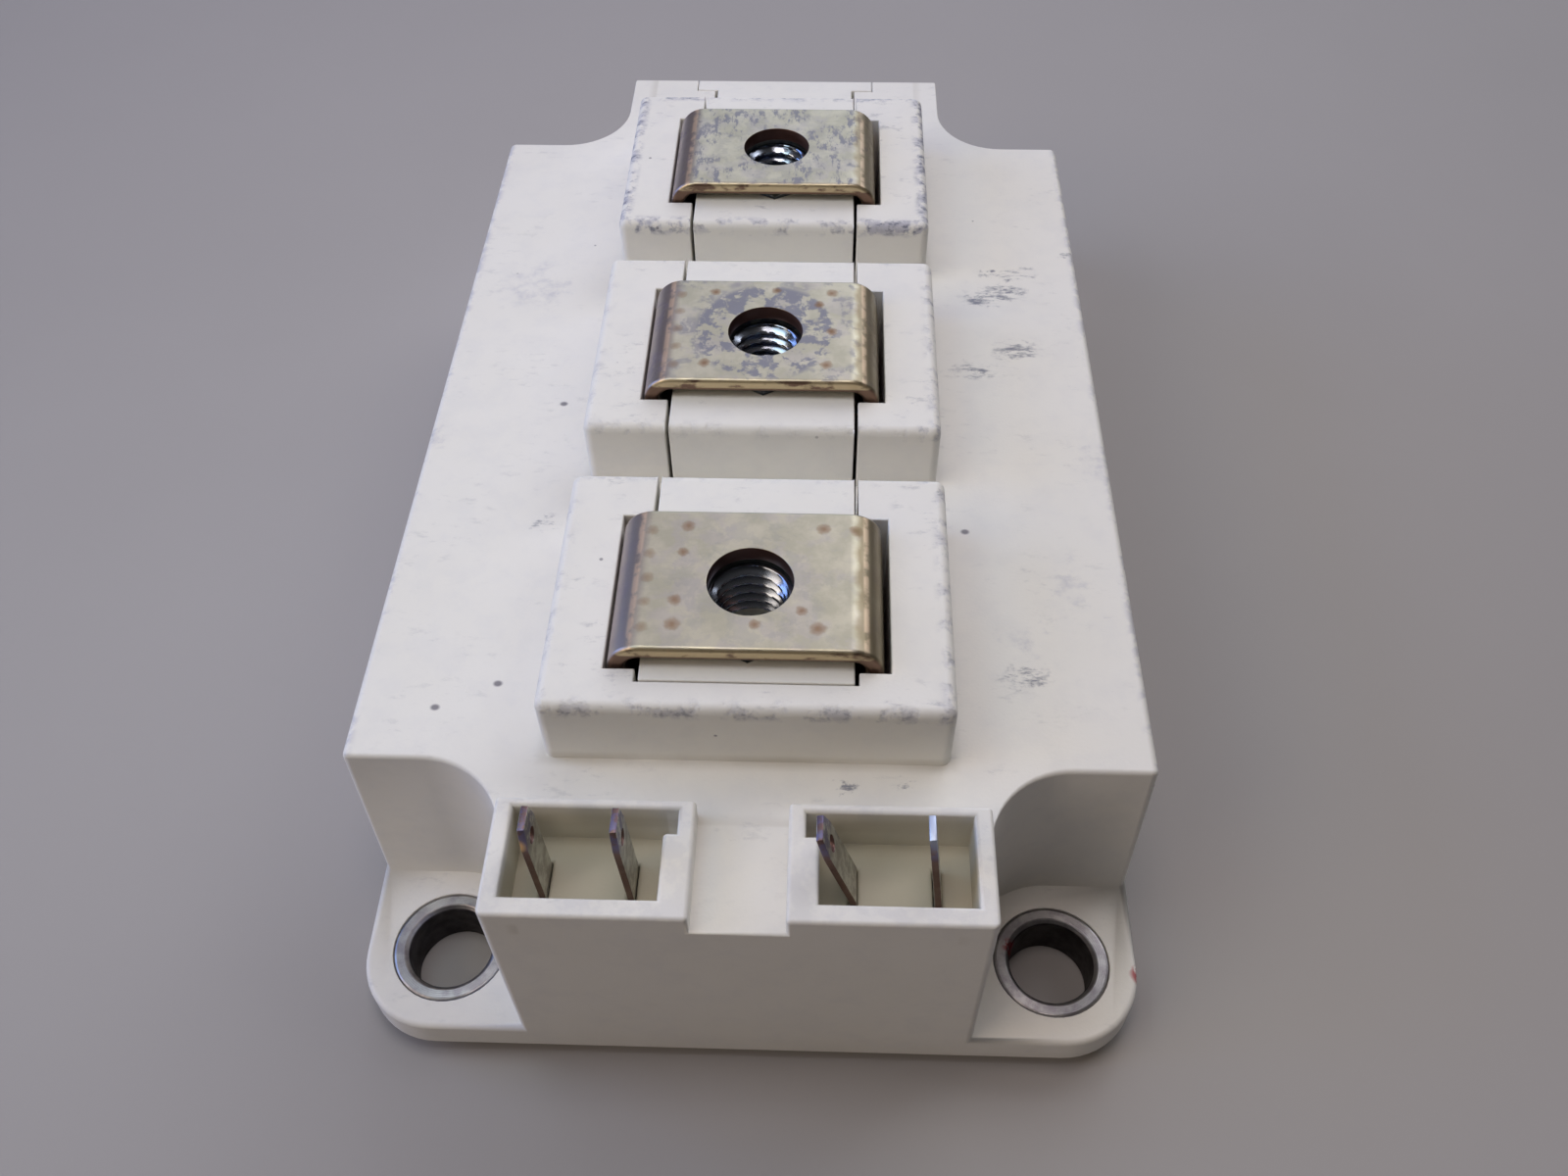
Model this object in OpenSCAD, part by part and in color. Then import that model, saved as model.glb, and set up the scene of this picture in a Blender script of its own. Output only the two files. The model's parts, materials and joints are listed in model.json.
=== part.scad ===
// Half-bridge power semiconductor module in the 62 mm screw-terminal package.
// Two solid state switches on a copper base plate, in one moulded housing, with three
// bent-copper main terminals over captive nuts and four flat control tabs.
// Millimetres. The origin is the centre of the base plate's underside, +Z is up,
// Y runs along the module, and the control tabs are at the -Y end.

/* [Flange and body] */
// Width of the flange across X
flange_w = 61.4; // [61:0.1:62]
// Length of the flange along Y
flange_l = 106.4; // [106:0.1:107]
// Corner radius of the flange
flange_r = 6.2; // [5.5:0.1:6.7]
// Height of the flange's lower edge
flange_bottom = 1.6; // [1.2:0.1:2]
// Height of the flange's top face
flange_top = 4.4; // [4.2:0.1:4.8]
// Width of the body at its top face
body_top_w = 60.0; // [59.4:0.1:60.6]
// Height of the body's top face
body_top = 22.0; // [21.8:0.1:22.4]
// Radius of the corner notches around the mounting holes
notch_r = 6.6; // [6.4:0.1:7]

/* [Mounting holes] */
// Hole spacing across X
hole_dx = 48.0; // [47.8:0.1:48.2]
// Hole spacing along Y
hole_dy = 93.0; // [92.8:0.1:93.2]
// Bore of the mounting sleeves
sleeve_bore = 6.6; // [6.4:0.1:6.8]
// Outer diameter of the sleeves in the flange
sleeve_od = 9.2; // [9:0.1:9.6]

/* [Base plate] */
// Thickness of the base plate
plate_t = 3.0; // [2.8:0.1:3]
// How far the plate's edge stands in from the flange's edge
plate_inset = 0.8; // [0.7:0.1:1.2]
// Corner radius of the base plate
plate_r = 7.0; // [6.5:0.1:8]

/* [Terminal blocks] */
// Distance between the main terminals
terminal_pitch = 28.0; // [27.9:0.1:28.1]
// Y of the front terminal's hole
first_terminal_y = -29.5; // [-29.8:0.1:-29.3]
// Width of a block
block_w = 29.8; // [29.4:0.1:30.2]
// Length of a block
block_l = 22.8; // [22.4:0.1:23]
// Distance from a hole back to its block's front edge
block_lead = 10.1; // [9.9:0.1:10.3]
// Height of the blocks' top faces
block_top = 28.5; // [28.3:0.1:28.6]
// Radius of the blocks' upright corners
block_r = 0.8; // [0.5:0.1:1.5]

/* [Main terminals] */
// Length of a terminal along Y
bridge_l = 13.4; // [13:0.1:13.6]
// Width of a terminal over its legs
bridge_w = 19.9; // [19.7:0.1:20]
// Thickness of the terminal copper
bridge_t = 1.3; // [1.2:0.1:1.5]
// Height of a terminal's top face
bridge_top = 30.5; // [30.5:0.1:30.8]
// Outer radius of a terminal's bends
bend_r = 2.5; // [2.2:0.1:2.8]
// Diameter of a terminal's screw hole
screw_hole = 6.4; // [6.2:0.1:6.6]
// Width of the slot in the block that holds a terminal
slot_w = 20.6; // [20.4:0.1:21]
// Length of that slot
slot_l = 14.7; // [14.4:0.1:14.9]

/* [Nut carrier] */
// Width of the nut carrier
carrier_w = 15.4; // [15.2:0.1:15.5]
// Width of the channel it slides in
channel_w = 16.0; // [15.8:0.1:16.2]
// Width of the cap at its rear end
cap_w = 20.0; // [19.6:0.1:20.4]
// Width of a nut across its flats
nut_af = 10.0; // [9.8:0.1:10]
// Height of a nut
nut_h = 5.0; // [4.8:0.1:5]
// Bore of a nut at the thread's crests
nut_bore = 5.0; // [4.9:0.1:5.1]

/* [Tab shrouds and tabs] */
// Height of the shroud rims
shroud_top = 24.0; // [23.8:0.1:24.2]
// Height of the pocket floors
pocket_floor = 19.6; // [19.4:0.1:19.7]
// Width of the gap between the two shrouds
shroud_gap = 6.5; // [6.2:0.1:6.8]
// Width of a tab
tab_w = 2.8; // [2.7:0.1:2.8]
// Thickness of a tab
tab_t = 0.5; // [0.4:0.1:0.5]
// Height of an upright tab's tip
tab_tip = 28.3; // [28:0.1:29]

/* [Hidden] */
$fn = 48;

// A little extra depth, so that a cut runs cleanly through a face
over = 0.5;

// Colours
cream = [0.87, 0.85, 0.78];
cream_light = [0.9, 0.88, 0.82];
copper = [0.72, 0.45, 0.3];
tarnished = [0.55, 0.45, 0.35];
steel = [0.62, 0.63, 0.65];
zinc = [0.72, 0.75, 0.8];
dark_plate = [0.35, 0.35, 0.36];

// The body ends where the notch arcs start, and so do the end blocks' sides
body_l = hole_dy - 2 * notch_r;
end_w = hole_dx - 2 * notch_r;
terminal_ys = [for (i = [0:2]) first_terminal_y + i * terminal_pitch];

// Housing walls and inner cavity
seal_t = 0.15;
seal_w = 1.4;
seal_gap = 0.6;
plate_play = 0.1;
wall = 2.0;
cavity_w = 56.0;
cavity_l = body_l - 2 * wall;
cavity_roof = body_top - wall;
end_cavity_w = end_w - 2 * wall;
front_cavity_end = -flange_l / 2 + wall;

// Nut carrier, and the channel and trough it slides in
carrier_bottom = 15.0;
carrier_play = 0.1;
carrier_lead = 7.6;
carrier_front = first_terminal_y - carrier_lead;
trough_wall = 1.5;
trough_bottom = carrier_bottom - carrier_play - trough_wall;
cap_t = 2.0;
rear_cavity_end = flange_l / 2 - cap_t - carrier_play - trough_wall;

// Nuts, their pockets in the carrier, and the wells for the screws' ends
nut_rise = 0.4;
nut_seat = block_top + nut_rise - nut_h;
nut_bevel = 0.5;
nut_mouth = 0.5;
pocket_play = 0.2;
screw_well_r = 3.5;
screw_well_bottom = 17.0;

// Distances from a terminal's hole forward to the edges of its slot and of its bridge
slot_lead = 6.6;
bridge_lead = 6.4;

// How far the terminals sit off their holes towards -X
bridge_shift = 0.15;

// Mounting sleeves: shank in the plate, flared foot under it, chamfered rim
shank_r = 4.2;
flare_r = 4.8;
flare_h = 0.6;
sleeve_chamfer = 0.35;

// Tab shrouds
shroud_back = -44.1;
shroud_inner = shroud_gap / 2;
pocket_x = [5.4, 16.1];
pocket_y = [-51.7, -44.85];
key_x = 4.45;
key_y = -46.7;
floor_t = 2.0;

// Control tabs: place along X, and lean towards -X in degrees
tab_names = ["outer_left", "inner_left", "inner_right", "outer_right"];
tab_xs = [-13.9, -7.7, 7.8, 13.7];
tab_leans = [2, 3, 17, 6.5];
tab_y = -48.3;
tab_bend = 20.0;
tab_foot = 13.5;
tab_tip_w = 1.9;
tab_taper = 1.8;
tab_hole = 1.2;
tab_hole_drop = 2.2;
tab_play = 0.05;

// Inner leads: height of the long run, and its place along X
lead_d = 1.0;
lead_run_z = 12.7;
lead_xs = [-14.6, -5, 5, 14.6];

// Substrates, from the base plate upwards
substrate_w = 50.0;
substrate_l = 35.0;
substrate_ys = [-19, 19];
solder_t = 0.2;
copper_t = 0.3;
ceramic_t = 0.6;
copper_inset = 1.2;
bottom_copper_z = plate_t + solder_t;
ceramic_z = bottom_copper_z + copper_t;
pad_z = ceramic_z + ceramic_t;
pad_top = pad_z + copper_t;
pad_half_w = substrate_w / 2 - copper_inset;
pad_half_l = substrate_l / 2 - copper_inset;
collector_back = 9.0;
emitter_front = 10.2;
emitter_band = 2.5;
gate_half_w = 6.5;
pad_gap = 0.8;
lead_end_y = pad_half_l - 1.4;

// Chips
chip_t = 0.25;
chip_top = pad_top + chip_t;
chip_y = 0.5;
switch_side = 10.0;
switch_x = 18.0;
diode_side = 8.0;
diode_x = 7.0;

// Bond wires; the gate wires run between two points given from the substrate's centre
wire_d = 0.4;
wire_span = 8.4;
wire_pitch = 1.6;
switch_wire_y = 3.0;
diode_wire_y = 2.0;
gate_wire_from = [14.0, 4.8];
gate_wire_to = [4.0, 14.0];

// Silicone gel
gel_top = 12.0;

// Leg feet of each terminal: [front edge of the left leg, front edge of the right leg]
leg_l = 4.5;
foot_out = 3.5;
foot_ys = [
    [-34.6, -34.6],
    [-7.4, 2.0],
    [29.8, 29.8]
];
narrow_leg_top = 19.0;

// A box between two corners
module block(from, to) {
    translate(from)
        cube(to - from);
}

// An upright prism with round corners, centred on Z
module rounded_prism(w, l, r, z0, z1) {
    block([-w / 2 + r, -l / 2, z0], [w / 2 - r, l / 2, z1]);
    block([-w / 2, -l / 2 + r, z0], [w / 2, l / 2 - r, z1]);
    for (x = [-1, 1], y = [-1, 1])
        translate([x * (w / 2 - r), y * (l / 2 - r), z0])
            cylinder(r = r, h = z1 - z0);
}

// Repeats its children at the four mounting holes
module at_mounting_holes() {
    for (x = [-1, 1], y = [-1, 1])
        translate([x * hole_dx / 2, y * hole_dy / 2, 0])
            children();
}

// A bar along Y whose section in X and Z is the given polygon
module bar_along_y(points, y0, y1) {
    translate([0, y1, 0])
        rotate([90, 0, 0])
            linear_extrude(height = y1 - y0)
                polygon(points);
}

// ---- housing ----

module body_block() {
    bar_along_y(
        [[-flange_w / 2, flange_top - over], [flange_w / 2, flange_top - over], [flange_w / 2, flange_top],
         [body_top_w / 2, body_top], [-body_top_w / 2, body_top], [-flange_w / 2, flange_top]],
        -body_l / 2, body_l / 2);
}

// The narrow ends of the body, with the stretch that the notch arcs are cut from
module end_blocks() {
    block([-end_w / 2, -flange_l / 2, flange_bottom], [end_w / 2, flange_l / 2, body_top]);
    block([-hole_dx / 2, -hole_dy / 2, flange_top - over], [hole_dx / 2, hole_dy / 2, body_top]);
}

module terminal_block(hole_y) {
    translate([0, hole_y - block_lead + block_l / 2, 0])
        rounded_prism(block_w, block_l, block_r, body_top - over, block_top);
}

module shroud(side) {
    x0 = side > 0 ? shroud_inner : -end_w / 2;
    x1 = side > 0 ? end_w / 2 : -shroud_inner;
    block([x0, -flange_l / 2, body_top - over], [x1, shroud_back, shroud_top]);
}

module shroud_pocket(side) {
    mirror([side > 0 ? 0 : 1, 0, 0]) {
        block([pocket_x[0], pocket_y[0], pocket_floor], [pocket_x[1], pocket_y[1], shroud_top + over]);
        block([key_x, key_y, pocket_floor], [pocket_x[1], pocket_y[1], shroud_top + over]);
    }
}

module inner_cavity() {
    z0 = flange_bottom;
    difference() {
        union() {
            block([-cavity_w / 2, -cavity_l / 2, z0], [cavity_w / 2, cavity_l / 2, cavity_roof]);
            block([-end_cavity_w / 2, front_cavity_end, z0],
                  [end_cavity_w / 2, 0, pocket_floor - floor_t]);
            block([-end_cavity_w / 2, 0, z0], [end_cavity_w / 2, rear_cavity_end, cavity_roof]);
        }
        // the trough that the nut carrier slides in
        block([-channel_w / 2 - trough_wall, carrier_front - carrier_play - trough_wall, trough_bottom],
              [channel_w / 2 + trough_wall, flange_l / 2, body_top]);
    }
}

module carrier_channel() {
    z0 = carrier_bottom - carrier_play;
    block([-channel_w / 2, carrier_front - carrier_play, z0],
          [channel_w / 2, flange_l / 2 + over, block_top + over]);
    block([-cap_w / 2 - carrier_play, flange_l / 2 - cap_t - carrier_play, z0],
          [cap_w / 2 + carrier_play, flange_l / 2 + over, block_top + over]);
}

module leg_slots(hole_y) {
    for (side = [0, 1])
        mirror([side, 0, 0])
            block([channel_w / 2 - over, hole_y - slot_lead, trough_bottom - over],
                  [slot_w / 2, hole_y - slot_lead + slot_l, block_top + over]);
}

module tab_slot(x) {
    block([x - tab_t / 2 - tab_play, tab_y - tab_w / 2 - tab_play, tab_foot],
          [x + tab_t / 2 + tab_play, tab_y + tab_w / 2 + tab_play, pocket_floor + over]);
}

module housing() {
    color(cream)
        difference() {
            union() {
                rounded_prism(flange_w, flange_l, flange_r, flange_bottom, flange_top);
                body_block();
                end_blocks();
                for (y = terminal_ys)
                    terminal_block(y);
                for (side = [-1, 1])
                    shroud(side);
            }
            at_mounting_holes() {
                translate([0, 0, flange_top])
                    cylinder(r = notch_r, h = block_top);
                cylinder(d = sleeve_od, h = flange_top + over);
            }
            rounded_prism(flange_w - 2 * plate_inset + 2 * plate_play,
                          flange_l - 2 * plate_inset + 2 * plate_play,
                          plate_r + plate_play, flange_bottom - over, plate_t + seal_t);
            inner_cavity();
            carrier_channel();
            for (y = terminal_ys)
                leg_slots(y);
            for (side = [-1, 1])
                shroud_pocket(side);
            for (x = tab_xs)
                tab_slot(x);
        }
}

// ---- base plate, seal and sleeves ----

module base_plate() {
    color(dark_plate)
        difference() {
            rounded_prism(flange_w - 2 * plate_inset, flange_l - 2 * plate_inset, plate_r, 0, plate_t);
            at_mounting_holes() {
                translate([0, 0, -over])
                    cylinder(r = shank_r, h = plate_t + 2 * over);
                cylinder(r1 = flare_r, r2 = shank_r, h = flare_h);
            }
        }
}

// Plan of the inner cavity, grown on every side
module cavity_plan(grow, h) {
    block([-cavity_w / 2 - grow, -cavity_l / 2 - grow, 0], [cavity_w / 2 + grow, cavity_l / 2 + grow, h]);
    block([-end_cavity_w / 2 - grow, front_cavity_end - grow, 0],
          [end_cavity_w / 2 + grow, rear_cavity_end + grow, h]);
}

module housing_seal() {
    color("dimgray")
        translate([0, 0, plate_t])
            difference() {
                intersection() {
                    cavity_plan(seal_gap + seal_w, seal_t);
                    block([-flange_w / 2, -flange_l / 2 + plate_inset, 0],
                          [flange_w / 2, flange_l / 2 - plate_inset, seal_t]);
                }
                translate([0, 0, -over])
                    cavity_plan(seal_gap, seal_t + 2 * over);
            }
}

// A hollow rivet that clamps the flange to the plate: head in the flange, flared foot below
module mounting_sleeve(x, y) {
    bore_r = sleeve_bore / 2;
    color(steel)
        translate([x * hole_dx / 2, y * hole_dy / 2, 0])
            rotate_extrude()
                polygon([
                    [bore_r, 0], [flare_r, 0], [shank_r, flare_h], [shank_r, plate_t],
                    [sleeve_od / 2, plate_t], [sleeve_od / 2, flange_top],
                    [bore_r + sleeve_chamfer, flange_top], [bore_r, flange_top - sleeve_chamfer]
                ]);
}

// ---- nut carrier and nuts ----

module hex_prism(af, z0, z1) {
    translate([0, 0, z0])
        rotate([0, 0, 30])
            cylinder(r = af / 2 / cos(30), h = z1 - z0, $fn = 6);
}

module nut_carrier() {
    half = carrier_w / 2;
    color(cream_light)
        difference() {
            union() {
                block([-half, carrier_front, carrier_bottom], [half, flange_l / 2, body_top]);
                block([-cap_w / 2, flange_l / 2 - cap_t, carrier_bottom],
                      [cap_w / 2, flange_l / 2, body_top]);
                for (y = terminal_ys)
                    block([-half, max(y - block_lead, carrier_front), carrier_bottom],
                          [half, y - block_lead + block_l, block_top]);
            }
            for (y = terminal_ys)
                translate([0, y, 0]) {
                    hex_prism(nut_af + pocket_play, nut_seat, block_top + over);
                    translate([0, 0, screw_well_bottom])
                        cylinder(r = screw_well_r, h = block_top);
                }
        }
}

module hex_nut(hole_y) {
    crest_r = nut_bore / 2;
    mouth_r = crest_r + nut_mouth;
    corner_r = nut_af / 2 / cos(30);
    outer_r = corner_r + over;
    slope = nut_bevel + over;
    color(zinc)
        translate([0, hole_y, nut_seat])
            difference() {
                intersection() {
                    hex_prism(nut_af, 0, nut_h);
                    rotate_extrude()
                        polygon([
                            [0, 0], [corner_r - nut_bevel, 0], [outer_r, slope],
                            [outer_r, nut_h - slope], [corner_r - nut_bevel, nut_h], [0, nut_h]
                        ]);
                }
                translate([0, 0, -over])
                    cylinder(r = crest_r, h = nut_h + 2 * over);
                cylinder(r1 = mouth_r, r2 = crest_r, h = nut_mouth);
                translate([0, 0, nut_h - nut_mouth])
                    cylinder(r1 = crest_r, r2 = mouth_r, h = nut_mouth);
            }
}

// ---- main terminals ----

// Quarter ring of sheet metal along Y, at the right-hand bend
module bend(y0, l) {
    translate([bridge_w / 2 - bend_r, y0 + l, bridge_top - bend_r])
        rotate([90, 0, 0])
            intersection() {
                difference() {
                    cylinder(r = bend_r, h = l);
                    translate([0, 0, -over])
                        cylinder(r = bend_r - bridge_t, h = l + 2 * over);
                }
                cube([bend_r, bend_r, l]);
            }
}

module terminal_leg(y0, foot_y) {
    x1 = bridge_w / 2;
    x0 = x1 - bridge_t;
    block([x0, y0, narrow_leg_top], [x1, y0 + bridge_l, bridge_top - bend_r]);
    block([x0, foot_y, pad_top], [x1, foot_y + leg_l, narrow_leg_top + over]);
    block([x0, foot_y, pad_top], [x1 + foot_out, foot_y + leg_l, pad_top + bridge_t]);
    bend(y0, bridge_l);
}

module main_terminal(i) {
    hole_y = terminal_ys[i];
    y0 = hole_y - bridge_lead;
    flat = bridge_w / 2 - bend_r;
    color(tarnished)
        difference() {
            translate([-bridge_shift, 0, 0]) {
                block([-flat, y0, bridge_top - bridge_t], [flat, y0 + bridge_l, bridge_top]);
                mirror([1, 0, 0])
                    terminal_leg(y0, foot_ys[i][0]);
                terminal_leg(y0, foot_ys[i][1]);
            }
            translate([0, hole_y, bridge_top - bridge_t - over])
                cylinder(d = screw_hole, h = bridge_t + 2 * over);
        }
}

// ---- control tabs and their leads ----

// Flat blade with a narrowed tip, standing on Z = 0 and centred on Y = 0
module tab_blade(l) {
    translate([-tab_t / 2, 0, 0])
        rotate([90, 0, 90])
            linear_extrude(height = tab_t)
                difference() {
                    polygon([
                        [-tab_w / 2, 0], [tab_w / 2, 0], [tab_w / 2, l - tab_taper],
                        [tab_tip_w / 2, l], [-tab_tip_w / 2, l], [-tab_w / 2, l - tab_taper]
                    ]);
                    translate([0, l - tab_hole_drop])
                        circle(d = tab_hole);
                }
}

module control_tab(i) {
    color(tarnished)
        translate([tab_xs[i], tab_y, 0]) {
            block([-tab_t / 2, -tab_w / 2, tab_foot], [tab_t / 2, tab_w / 2, tab_bend]);
            translate([0, tab_w / 2, tab_bend])
                rotate([90, 0, 0])
                    cylinder(d = tab_t, h = tab_w);
            translate([0, 0, tab_bend])
                rotate([0, -tab_leans[i], 0])
                    tab_blade(tab_tip - tab_bend);
        }
}

// A round wire down from a point
module wire_down(from, depth) {
    translate(from - [0, 0, depth])
        cylinder(d = lead_d, h = depth);
}

// A round wire backwards along Y from a point
module wire_back(from, l) {
    translate(from)
        rotate([-90, 0, 0])
            cylinder(d = lead_d, h = l);
}

// A round wire sideways along X from a point, to the right if l is above 0
module wire_across(from, l) {
    translate(from)
        rotate([0, l > 0 ? 90 : -90, 0])
            cylinder(d = lead_d, h = abs(l));
}

module lead_corner(p) {
    translate(p)
        sphere(d = lead_d);
}

// The last stretch of a lead, down through the gel to its pad
module lead_drop(i) {
    y1 = substrate_ys[i < 2 ? 0 : 1] + lead_end_y;
    wire_down([lead_xs[i], y1, lead_run_z], lead_run_z - pad_top);
}

module control_lead(i) {
    y1 = substrate_ys[i < 2 ? 0 : 1] + lead_end_y;
    foot = [tab_xs[i], tab_y, lead_run_z];
    front = [lead_xs[i], tab_y, lead_run_z];
    back = [lead_xs[i], y1, lead_run_z];
    color("firebrick") {
        wire_down([tab_xs[i], tab_y, tab_foot], tab_foot - lead_run_z);
        lead_corner(foot);
        wire_across(foot, lead_xs[i] - tab_xs[i]);
        lead_corner(front);
        wire_back(front, y1 - tab_y);
        lead_corner(back);
        lead_drop(i);
    }
}

// ---- substrates, chips and wires ----

module plate_layer(y, w, l, z, t) {
    block([-w / 2, y - l / 2, z], [w / 2, y + l / 2, z + t]);
}

module solder_layer(y) {
    color("lightgray")
        plate_layer(y, substrate_w - 2 * copper_inset, substrate_l - 2 * copper_inset, plate_t, solder_t);
}

module bottom_copper(y) {
    color(copper)
        plate_layer(y, substrate_w - 2 * copper_inset, substrate_l - 2 * copper_inset,
                    bottom_copper_z, copper_t);
}

module ceramic_tile(y) {
    color("white")
        plate_layer(y, substrate_w, substrate_l, ceramic_z, ceramic_t);
}

module collector_pad(y) {
    color(copper)
        block([-pad_half_w, y - pad_half_l, pad_z], [pad_half_w, y + collector_back, pad_top]);
}

module emitter_pad(y) {
    back = y + emitter_front + emitter_band;
    color(copper)
        difference() {
            block([-pad_half_w, y + emitter_front, pad_z], [pad_half_w, y + pad_half_l, pad_top]);
            block([-gate_half_w - pad_gap, back, pad_z - over],
                  [gate_half_w + pad_gap, y + pad_half_l + over, pad_top + over]);
        }
}

module gate_pad(y) {
    front = y + emitter_front + emitter_band + pad_gap;
    color(copper)
        block([-gate_half_w, front, pad_z], [gate_half_w, y + pad_half_l, pad_top]);
}

module chip(x, y, side) {
    color([0.3, 0.32, 0.36])
        block([x - side / 2, y - side / 2, pad_top], [x + side / 2, y + side / 2, chip_top]);
}

module switch_chip(i) {
    chip((i % 2 == 0 ? -1 : 1) * switch_x, substrate_ys[floor(i / 2)] + chip_y, switch_side);
}

module diode_chip(i) {
    chip((i % 2 == 0 ? -1 : 1) * diode_x, substrate_ys[floor(i / 2)] + chip_y, diode_side);
}

// A half ring of wire from a point on a chip to a point on a pad, which lies a chip's height lower
module bond_wire(from, to) {
    d = to - from;
    r = norm(d) / 2;
    translate([from[0], from[1], chip_top])
        rotate([90, 0, atan2(d[1], d[0])])
            translate([r, 0, -wire_d / 2])
                linear_extrude(height = wire_d) {
                    difference() {
                        circle(r = r + wire_d / 2);
                        circle(r = r - wire_d / 2);
                        translate([-2 * r, -4 * r])
                            square(4 * r);
                    }
                    translate([r - wire_d / 2, -chip_t])
                        square([wire_d, chip_t]);
                }
}

// Four wires on each switch chip, three on each diode chip, and one to the gate pad on each side
module bond_wires(y) {
    color("gainsboro") {
        for (side = [-1, 1], k = [-1.5:1:1.5])
            translate([side * switch_x + k * wire_pitch, y + switch_wire_y, 0])
                bond_wire([0, 0], [0, wire_span]);
        for (side = [-1, 1], k = [-1:1:1])
            translate([side * diode_x + k * wire_pitch, y + diode_wire_y, 0])
                bond_wire([0, 0], [0, wire_span]);
        for (side = [-1, 1])
            mirror([side > 0 ? 0 : 1, 0, 0])
                translate([0, y, 0])
                    bond_wire(gate_wire_from, gate_wire_to);
    }
}

module silicone_gel() {
    color([0.8, 0.85, 0.9, 0.4])
        difference() {
            translate([0, 0, plate_t])
                cavity_plan(0, gel_top - plate_t);
            for (y = substrate_ys) {
                solder_layer(y);
                bottom_copper(y);
                ceramic_tile(y);
                collector_pad(y);
                emitter_pad(y);
                gate_pad(y);
                bond_wires(y);
            }
            for (i = [0:3]) {
                switch_chip(i);
                diode_chip(i);
                lead_drop(i);
            }
            for (i = [0:2])
                main_terminal(i);
        }
}

// ---- the assembly ----

base_plate();
housing();
housing_seal();
mounting_sleeve(-1, -1);  // sleeve_front_left
mounting_sleeve(1, -1);  // sleeve_front_right
mounting_sleeve(-1, 1);  // sleeve_rear_left
mounting_sleeve(1, 1);  // sleeve_rear_right
nut_carrier();
hex_nut(terminal_ys[0]);  // nut_front
hex_nut(terminal_ys[1]);  // nut_middle
hex_nut(terminal_ys[2]);  // nut_rear
main_terminal(0);  // terminal_front
main_terminal(1);  // terminal_middle
main_terminal(2);  // terminal_rear
for (i = [0:3]) {
    control_tab(i);
    control_lead(i);
    switch_chip(i);
    diode_chip(i);
}
solder_layer(substrate_ys[0]);  // solder_front
solder_layer(substrate_ys[1]);  // solder_rear
bottom_copper(substrate_ys[0]);  // bottom_copper_front
bottom_copper(substrate_ys[1]);  // bottom_copper_rear
ceramic_tile(substrate_ys[0]);  // ceramic_front
ceramic_tile(substrate_ys[1]);  // ceramic_rear
collector_pad(substrate_ys[0]);  // collector_pad_front
collector_pad(substrate_ys[1]);  // collector_pad_rear
emitter_pad(substrate_ys[0]);  // emitter_pad_front
emitter_pad(substrate_ys[1]);  // emitter_pad_rear
gate_pad(substrate_ys[0]);  // gate_pad_front
gate_pad(substrate_ys[1]);  // gate_pad_rear
bond_wires(substrate_ys[0]);  // bond_wires_front
bond_wires(substrate_ys[1]);  // bond_wires_rear
silicone_gel();
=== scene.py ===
"""Looks of the half-bridge power module: worn cream plastic, tarnished copper, zinc and steel."""

import json
import math

import bmesh
import bpy
from mathutils import Matrix, Vector

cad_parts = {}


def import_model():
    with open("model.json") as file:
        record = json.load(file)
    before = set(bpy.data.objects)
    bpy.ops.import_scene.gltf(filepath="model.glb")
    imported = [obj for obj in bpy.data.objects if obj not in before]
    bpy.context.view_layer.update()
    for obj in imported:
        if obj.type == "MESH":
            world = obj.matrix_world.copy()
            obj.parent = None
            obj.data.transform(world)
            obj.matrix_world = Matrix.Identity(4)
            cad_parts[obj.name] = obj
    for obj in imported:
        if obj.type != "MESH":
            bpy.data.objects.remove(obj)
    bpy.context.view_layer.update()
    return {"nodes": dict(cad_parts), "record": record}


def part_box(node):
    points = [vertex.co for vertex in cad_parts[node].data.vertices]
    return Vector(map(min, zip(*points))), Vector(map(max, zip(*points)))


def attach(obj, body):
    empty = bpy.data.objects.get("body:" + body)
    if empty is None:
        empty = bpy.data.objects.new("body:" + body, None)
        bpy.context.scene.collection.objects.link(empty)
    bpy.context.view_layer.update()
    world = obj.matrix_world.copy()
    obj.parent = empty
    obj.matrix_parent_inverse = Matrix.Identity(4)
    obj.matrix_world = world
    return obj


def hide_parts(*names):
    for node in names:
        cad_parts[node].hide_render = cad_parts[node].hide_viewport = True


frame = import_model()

MM = 0.001
MOUNTS = {m["name"]: m for m in frame["record"]["mounts"]}
PLACES = ("front", "middle", "rear")

# ---- dimensions in millimetres: some read from the frame, the rest as in the CAD source ----


def span(node, axis):
    """Lowest and highest coordinate of a CAD node along one axis, in millimetres."""
    low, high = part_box(node)
    return low[axis] / MM, high[axis] / MM


HOLE_Y = [MOUNTS["busbar_hole_" + p]["pos_m"][1] / MM for p in PLACES]
PITCH = HOLE_Y[1] - HOLE_Y[0]
SLEEVE_X = MOUNTS["heatsink_screws"]["dims"]["spacing_x_mm"] / 2
SLEEVE_Y = MOUNTS["heatsink_screws"]["dims"]["spacing_y_mm"] / 2
SLEEVE_BORE = 3.3
SLEEVE_R = span("sleeve_rear_right", 0)[1] - SLEEVE_X
BORE_R = MOUNTS["busbar_thread_front"]["dims"]["r_mm"]
BRIDGE_TOP = span("terminal_front", 2)[1]
BLOCK_TOP = span("housing", 2)[1]
HALF_L = span("housing", 1)[1]
BODY_TOP = 22.0
BODY_HALF_W = 30.0
FLANGE_TOP = 4.4
SHROUD_TOP = 24.0
POCKET_FLOOR = 19.6
POCKET_MID = -48.3
POCKET_X = 10.75
POCKET_HALF_W = 5.5
POCKET_HALF_L = 3.5
SHROUD_HALF_W = 18.6
SHROUD_REAR = -43.5
NOTCH_START = 36
PASTE_HALF_W = 24
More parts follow.
